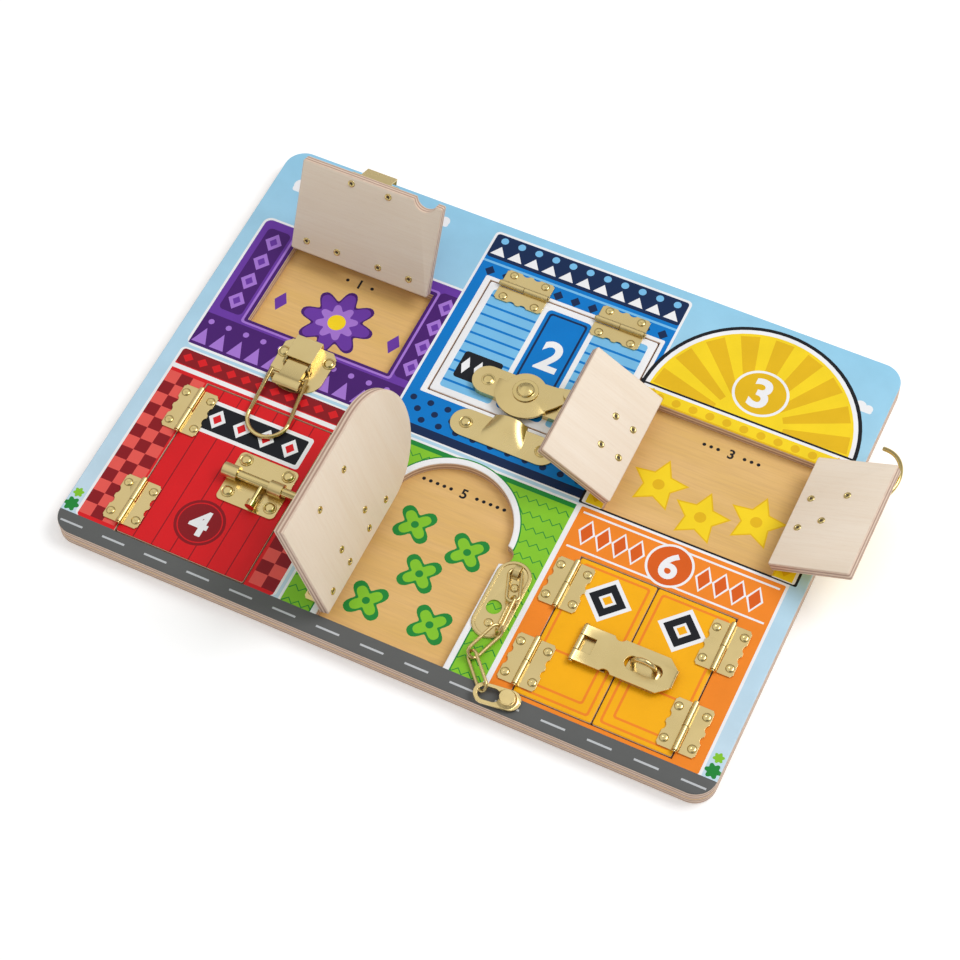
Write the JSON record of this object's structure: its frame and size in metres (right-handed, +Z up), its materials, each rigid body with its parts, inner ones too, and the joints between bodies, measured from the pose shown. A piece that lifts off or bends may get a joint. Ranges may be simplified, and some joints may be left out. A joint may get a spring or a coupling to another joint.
{
  "type": "wooden latch activity board",
  "caption": "Flat plywood activity board with framed wells under hinged doors and lift-up flaps, each held by a different brass household fastener.",
  "frame": {"origin": "centre of the board's underside, on the surface it rests on", "axes": "+X along the board's long side to the viewer's right, +Y towards the board's top edge, +Z up out of the printed face"},
  "size_m": [0.4182, 0.292, 0.088],
  "materials": {
    "ply_back": "bare",
    "print_sky": "printed, satin lacquer",
    "print_purple": "printed, satin lacquer",
    "print_blue": "printed, satin lacquer",
    "print_yellow": "printed, satin lacquer",
    "print_red": "printed, satin lacquer",
    "print_green": "printed, satin lacquer",
    "print_orange": "printed, satin lacquer",
    "brass_plate": "bright plated",
    "brass_rivet": "bright plated"
  },
  "bodies": {
    "board": {"backing_board": "ply_back", "face_board": "print_sky", "frame_leaves": "brass_plate", "frame_leaves_5": "brass_plate", "hinge_pins": "brass_rivet", "frame_rivets": "brass_rivet", "latch_base": "brass_plate", "latch_pin": "brass_rivet", "sash_keeper": "brass_plate", "bolt_keeper": "brass_plate", "chain_anchor": "brass_plate"},
    "flap_1": {"flap_1_panel": "print_purple", "flap_1_leaves": "brass_plate", "flap_1_rivets": "brass_rivet", "latch_catch": "brass_plate"},
    "flap_2": {"flap_2_panel": "print_blue", "flap_2_leaves": "brass_plate", "flap_2_rivets": "brass_rivet", "sash_plate": "brass_plate", "sash_rivets": "brass_rivet", "sash_pivot": "brass_rivet"},
    "sash_cam": {"sash_cam": "brass_plate"},
    "door_3l": {"door_3l_panel": "print_yellow", "door_3l_leaf": "brass_plate", "door_3l_rivets": "brass_rivet", "hook_eye": "brass_plate"},
    "door_3r": {"door_3r_panel": "print_yellow", "door_3r_leaf": "brass_plate", "door_3r_rivets": "brass_rivet", "hook_plate": "brass_plate"},
    "hook": {"hook_wire": "brass_plate"},
    "door_4": {"door_4_panel": "print_red", "door_4_leaves": "brass_plate", "door_4_rivets": "brass_rivet", "bolt_plate": "brass_plate"},
    "bolt": {"bolt_rod": "brass_plate"},
    "door_5": {"door_5_panel": "print_green", "door_5_leaves": "brass_plate", "door_5_rivets": "brass_rivet", "chain_track": "brass_plate"},
    "door_6l": {"door_6l_panel": "print_orange", "door_6l_leaves": "brass_plate", "door_6l_rivets": "brass_rivet", "hasp_leaf": "brass_plate", "hasp_pin": "brass_rivet"},
    "hasp": {"hasp_strap": "brass_plate"},
    "door_6r": {"door_6r_panel": "print_orange", "door_6r_leaves": "brass_plate", "door_6r_rivets": "brass_rivet", "hasp_staple": "brass_plate"},
    "latch_lever": {"latch_lever": "brass_plate"},
    "latch_bail": {"latch_bail": "brass_plate"},
    "link_1": {"chain_link_1": "brass_plate"},
    "link_2": {"chain_link_2": "brass_plate"},
    "link_3": {"chain_link_3": "brass_plate"},
    "link_4": {"chain_link_4": "brass_plate"},
    "slider": {"chain_slider": "brass_plate"}
  },
  "joints": [
    {"name": "flap_1_hinge", "type": "hinge", "parent": "board", "child": "flap_1", "pos_m": [-0.119, 0.08182, 0.0139], "axis": [-1, 0, 0], "range_deg": [-116, 44]},
    {"name": "flap_2_hinge", "type": "hinge", "parent": "board", "child": "flap_2", "pos_m": [0.006, 0.10572, 0.0139], "axis": [-1, 0, 0], "range_deg": [0, 85]},
    {"name": "sash_turn", "type": "hinge", "parent": "flap_2", "child": "sash_cam", "pos_m": [0.0071, 0.0398, 0.017], "axis": [0, 0, 1], "range_deg": [0, 150]},
    {"name": "door_3l_hinge", "type": "hinge", "parent": "board", "child": "door_3l", "pos_m": [0.07637, 0.0275, 0.0139], "axis": [0, -1, 0], "range_deg": [-146, 0]},
    {"name": "door_3r_hinge", "type": "hinge", "parent": "board", "child": "door_3r", "pos_m": [0.1762, 0.0275, 0.0139], "axis": [0, 1, 0], "range_deg": [-154, 8]},
    {"name": "hook_swing", "type": "hinge", "parent": "door_3r", "child": "hook", "pos_m": [0.1987, 0.033, 0.02298], "axis": [0.4384, 0, -0.8988], "range_deg": [-20, 90]},
    {"name": "door_4_hinge", "type": "hinge", "parent": "board", "child": "door_4", "pos_m": [-0.16212, -0.081, 0.0139], "axis": [0, -1, 0], "range_deg": [0, 84]},
    {"name": "bolt_slide", "type": "slide", "parent": "door_4", "child": "bolt", "axis": [1, 0, 0], "range_m": [-0.009, 0.0028]},
    {"name": "door_5_hinge", "type": "hinge", "parent": "board", "child": "door_5", "pos_m": [-0.03642, -0.09, 0.0139], "axis": [0, -1, 0], "range_deg": [-106, 44]},
    {"name": "door_6l_hinge", "type": "hinge", "parent": "board", "child": "door_6l", "pos_m": [0.07858, -0.086, 0.0139], "axis": [0, -1, 0], "range_deg": [0, 85]},
    {"name": "hasp_hinge", "type": "hinge", "parent": "door_6l", "child": "hasp", "pos_m": [0.0995, -0.0912, 0.0143], "axis": [0, -1, 0], "range_deg": [0, 114.5]},
    {"name": "door_6r_hinge", "type": "hinge", "parent": "board", "child": "door_6r", "pos_m": [0.17012, -0.086, 0.0139], "axis": [0, 1, 0], "range_deg": [0, 83]},
    {"name": "latch_lever_hinge", "type": "hinge", "parent": "board", "child": "latch_lever", "pos_m": [-0.1182, 0.0035, 0.0153], "axis": [1, 0, 0], "range_deg": [-60, 0]},
    {"name": "latch_bail_hinge", "type": "hinge", "parent": "latch_lever", "child": "latch_bail", "pos_m": [-0.1182, -0.005, 0.016], "axis": [-1, 0, 0], "range_deg": [0, 178]},
    {"name": "link_1_swing", "type": "hinge", "parent": "board", "child": "link_1", "pos_m": [0.0505, -0.066, 0.01445], "axis": [0, 0, 1], "range_deg": [-3, 0]},
    {"name": "link_2_swing", "type": "hinge", "parent": "link_1", "child": "link_2", "pos_m": [0.057, -0.0835, 0.0171], "axis": [0, 0, 1], "range_deg": [-5, 0]},
    {"name": "link_3_swing", "type": "hinge", "parent": "link_2", "child": "link_3", "pos_m": [0.0578, -0.103, 0.0173], "axis": [0, 0, 1], "range_deg": [-8, 0]},
    {"name": "link_4_swing", "type": "hinge", "parent": "link_3", "child": "link_4", "pos_m": [0.0508, -0.122, 0.0162], "axis": [0, 0, 1], "range_deg": [-8, 0]},
    {"name": "slider_swing", "type": "hinge", "parent": "link_4", "child": "slider", "pos_m": [0.065, -0.1375, 0.0157], "axis": [0, 0, 1], "range_deg": [-8, 0]}
  ],
  "couplings": [
    {"joint": "door_3l_hinge", "follows": "flap_2_hinge", "ratio": -1.717},
    {"joint": "latch_bail_hinge", "follows": "door_4_hinge", "ratio": 2.12},
    {"joint": "hasp_hinge", "follows": "door_6r_hinge", "ratio": 1.38}
  ]
}
